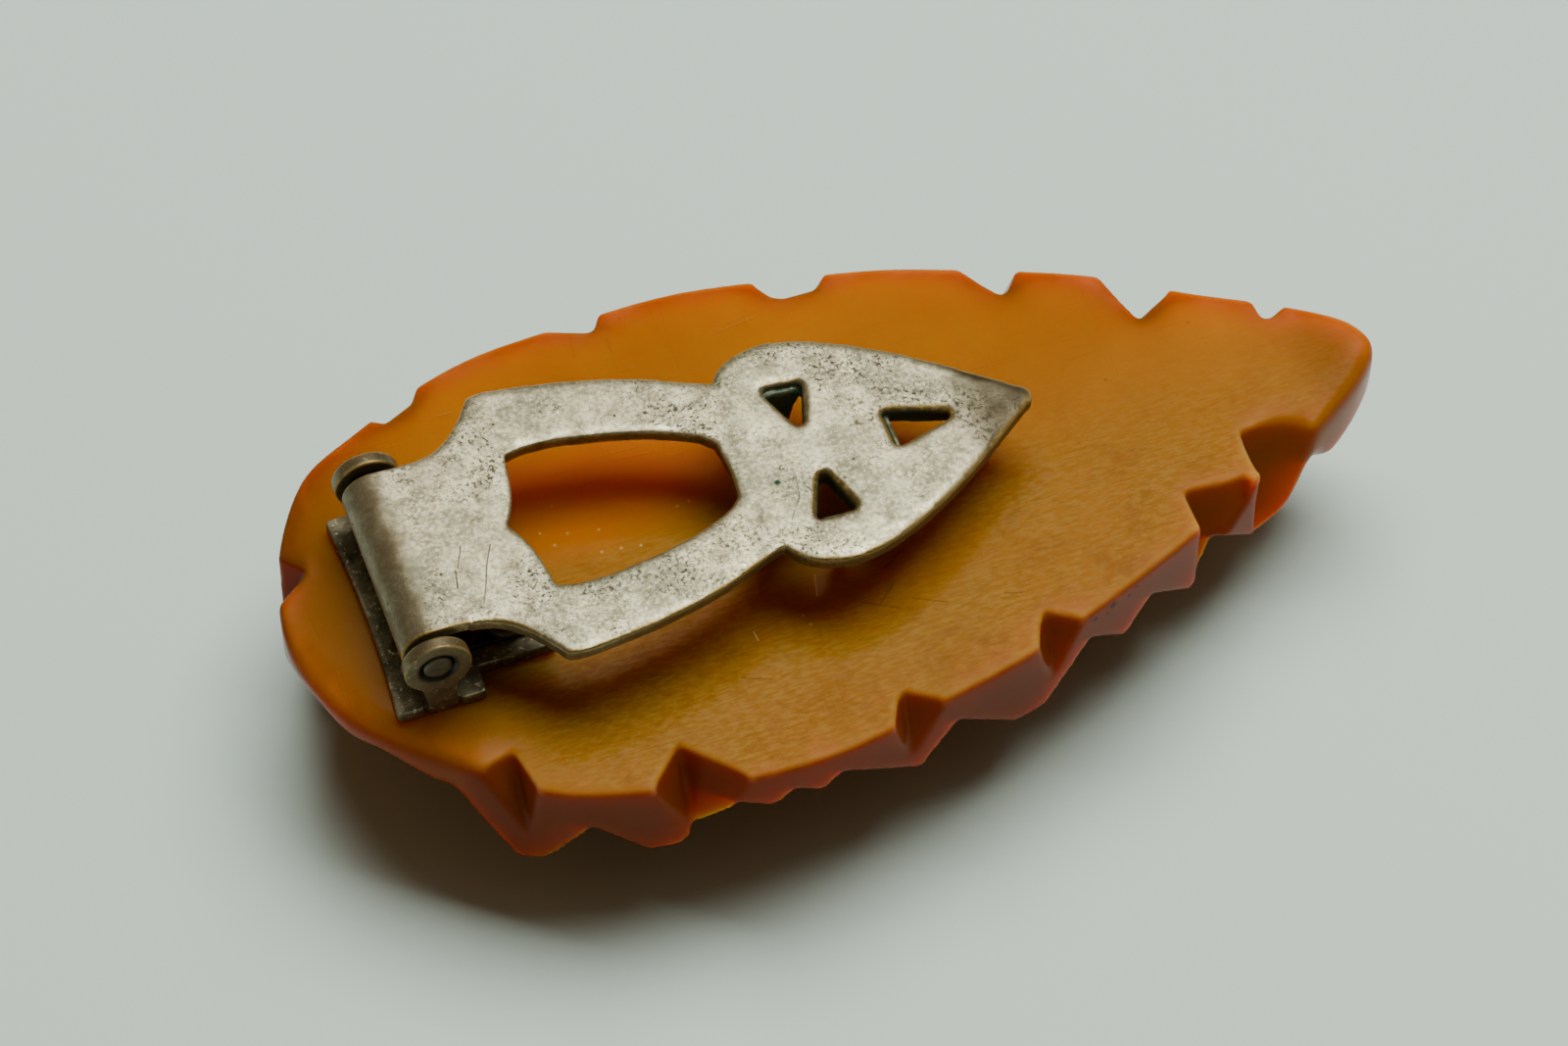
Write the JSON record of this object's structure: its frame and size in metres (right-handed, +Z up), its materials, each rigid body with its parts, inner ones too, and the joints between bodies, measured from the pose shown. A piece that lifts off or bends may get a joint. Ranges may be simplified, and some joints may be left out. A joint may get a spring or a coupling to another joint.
{
  "type": "dress clip",
  "caption": "Carved leaf-shaped amber plastic dress clip lying face down, its flat back carrying a hinged, pierced metal clip flap with bent-down teeth.",
  "frame": {"origin": "centre of the bounding box in plan, at the lowest point of the carved dome", "axes": "+X along the leaf from the stem end to the tip, +Z up out of the flat back, hinge axis along Y near the stem end"},
  "size_m": [0.0512, 0.0266, 0.0139],
  "materials": {
    "amber_plastic": "translucent amber cast resin, polished, flat back finely scratched",
    "plated_sheet": "worn silvery plating over brass, speckled with tarnish",
    "dark_sheet": "brass sheet tarnished dark grey-green, bare yellow at its edges",
    "pin_metal": "dull grey wire",
    "spring_steel": "blackened spring strip"
  },
  "bodies": {
    "brooch": {"leaf_body": "amber_plastic", "hinge_base": "dark_sheet", "hinge_pin": "pin_metal", "flat_spring": "spring_steel", "drive_pins": "pin_metal"},
    "flap": {"clip_flap": "plated_sheet"}
  },
  "joints": [
    {"name": "flap_hinge", "type": "hinge", "parent": "brooch", "child": "flap", "pos_m": [-0.02025, -0.00004, 0.01242], "axis": [0, -1, 0], "range_deg": [0, 85], "stiffness_Nm_per_rad": 0.004, "springref_deg": -28.65}
  ]
}
